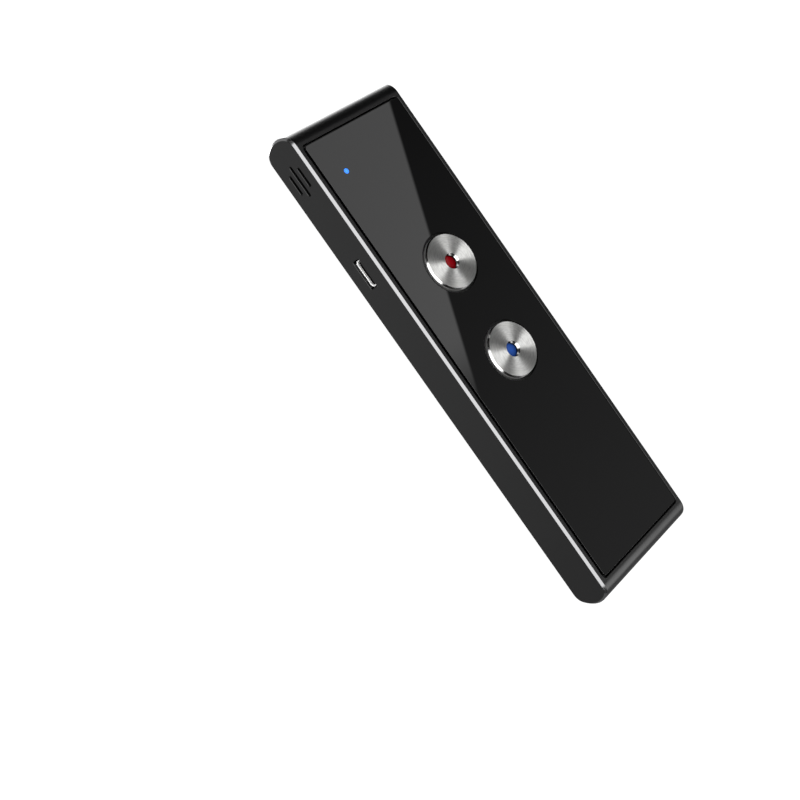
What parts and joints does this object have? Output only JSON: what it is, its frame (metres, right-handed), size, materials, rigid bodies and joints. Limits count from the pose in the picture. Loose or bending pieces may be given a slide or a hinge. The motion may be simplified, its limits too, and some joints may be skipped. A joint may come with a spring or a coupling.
{
  "type": "handheld translator",
  "caption": "Slim pocket voice translator with a glossy inset front panel, round press buttons, side keys, a charging socket and a rear speaker grille.",
  "frame": {"origin": "centre of the flat back face", "axes": "+X to the right seen from the front, +Y to the top end, +Z out of the front face"},
  "size_m": [0.039, 0.14, 0.0137],
  "materials": {
    "housing": "bead-blasted, dark anodised, polished bevels",
    "panel": "gloss black",
    "adhesive": "matt black tape",
    "frame": "moulded, fine matt",
    "steel": "plain steel",
    "spun_metal": "spun, with fine circular lines",
    "red_lens": "clear red plastic",
    "blue_lens": "clear blue plastic",
    "switch": "matt black",
    "plunger": "natural plastic",
    "lamp": "clear resin",
    "light_pipe": "clear blue plastic, lit",
    "key": "black, with a polished bevel",
    "board": "green solder mask",
    "chip": "moulded black",
    "ceramic": "white ceramic",
    "socket_metal": "tinned steel",
    "tongue": "black plastic",
    "contact": "gold plated",
    "mesh": "fine acoustic cloth",
    "foam": "closed foam",
    "cone": "thin film",
    "magnet": "nickel plated",
    "wire": "insulated wire",
    "rubber": "soft rubber",
    "cell": "laminated foil pouch"
  },
  "bodies": {
    "device": {"housing": "housing", "front_panel": "panel", "panel_adhesive": "adhesive", "inner_frame": "frame", "frame_screws": "steel", "red_switch_body": "switch", "blue_switch_body": "switch", "red_led": "lamp", "blue_led": "lamp", "status_led": "lamp", "status_light_pipe": "light_pipe", "rocker_bracket": "steel", "rocker_pin": "steel", "power_switch_body": "switch", "volume_up_switch_body": "switch", "volume_down_switch_body": "switch", "key_board": "board", "main_board": "board", "processor": "chip", "memory_chip": "chip", "audio_chip": "chip", "radio_chip": "chip", "shield_can": "socket_metal", "antenna": "ceramic", "usb_shell": "socket_metal", "usb_tongue": "tongue", "usb_contacts": "contact", "speaker_mesh": "mesh", "speaker_gasket": "foam", "speaker_frame": "frame", "speaker_cone": "cone", "speaker_magnet": "magnet", "speaker_leads": "wire", "microphone_left": "socket_metal", "microphone_right": "socket_metal", "mic_boot_left": "rubber", "mic_boot_right": "rubber", "battery_cell": "cell", "battery_pad": "foam", "battery_protection_board": "board", "battery_connector": "switch", "battery_leads": "wire"},
    "red_button_body": {"red_button": "spun_metal", "red_button_lens": "red_lens", "red_switch_plunger": "plunger"},
    "blue_button_body": {"blue_button": "spun_metal", "blue_button_lens": "blue_lens", "blue_switch_plunger": "plunger"},
    "power_key_body": {"power_key": "key", "power_switch_plunger": "plunger"},
    "volume_rocker_body": {"volume_rocker": "key"},
    "volume_up_plunger_body": {"volume_up_switch_plunger": "plunger"},
    "volume_down_plunger_body": {"volume_down_switch_plunger": "plunger"}
  },
  "joints": [
    {"name": "red_button_press", "type": "slide", "parent": "device", "child": "red_button_body", "axis": [0, 0, -1], "range_m": [0, 0.00035], "stiffness_N_per_m": 2000, "springref_m": -0.0002},
    {"name": "blue_button_press", "type": "slide", "parent": "device", "child": "blue_button_body", "axis": [0, 0, -1], "range_m": [0, 0.00035], "stiffness_N_per_m": 2000, "springref_m": -0.0002},
    {"name": "power_key_press", "type": "slide", "parent": "device", "child": "power_key_body", "axis": [-1, 0, 0], "range_m": [0, 0.00025], "stiffness_N_per_m": 2500, "springref_m": -0.0002},
    {"name": "volume_rock", "type": "hinge", "parent": "device", "child": "volume_rocker_body", "pos_m": [0.01545, 0.009, 0.00632], "axis": [0, 0, 1], "range_deg": [-1.2, 1.2], "stiffness_Nm_per_rad": 0.7},
    {"name": "volume_up_plunger_slide", "type": "slide", "parent": "device", "child": "volume_up_plunger_body", "axis": [-1, 0, 0], "range_m": [-0.0002, 0.0002]},
    {"name": "volume_down_plunger_slide", "type": "slide", "parent": "device", "child": "volume_down_plunger_body", "axis": [-1, 0, 0], "range_m": [-0.0002, 0.0002]}
  ],
  "couplings": [
    {"joint": "volume_up_plunger_slide", "follows": "volume_rock", "m_per_rad": 0.008},
    {"joint": "volume_down_plunger_slide", "follows": "volume_rock", "m_per_rad": -0.008}
  ]
}
